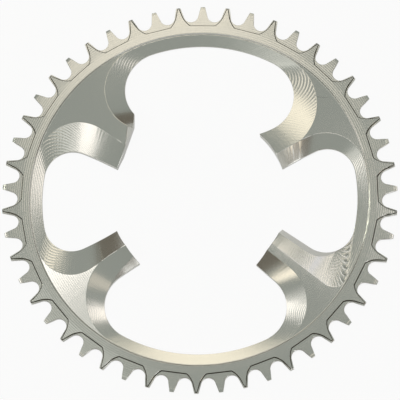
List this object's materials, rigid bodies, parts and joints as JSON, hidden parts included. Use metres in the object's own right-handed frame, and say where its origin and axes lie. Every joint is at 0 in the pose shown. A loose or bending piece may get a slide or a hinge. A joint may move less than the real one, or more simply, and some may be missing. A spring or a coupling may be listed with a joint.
{
  "type": "bicycle chainring",
  "caption": "Narrow-wide bicycle chainring with a raised, bevelled face and offset arms that end in a round opening for a crank spider.",
  "frame": {"origin": "on the ring's axis, in the plane of its flat back face", "axes": "+Z is the ring's axis and points to the outer side of the bicycle; +Y points at a narrow tooth; +X lies over a gap between two teeth"},
  "size_m": [0.2106, 0.2108, 0.0117],
  "materials": {
    "machined_aluminium": "raw machined, unanodised"
  },
  "bodies": {
    "root": {"chainring": "machined_aluminium"}
  },
  "joints": []
}
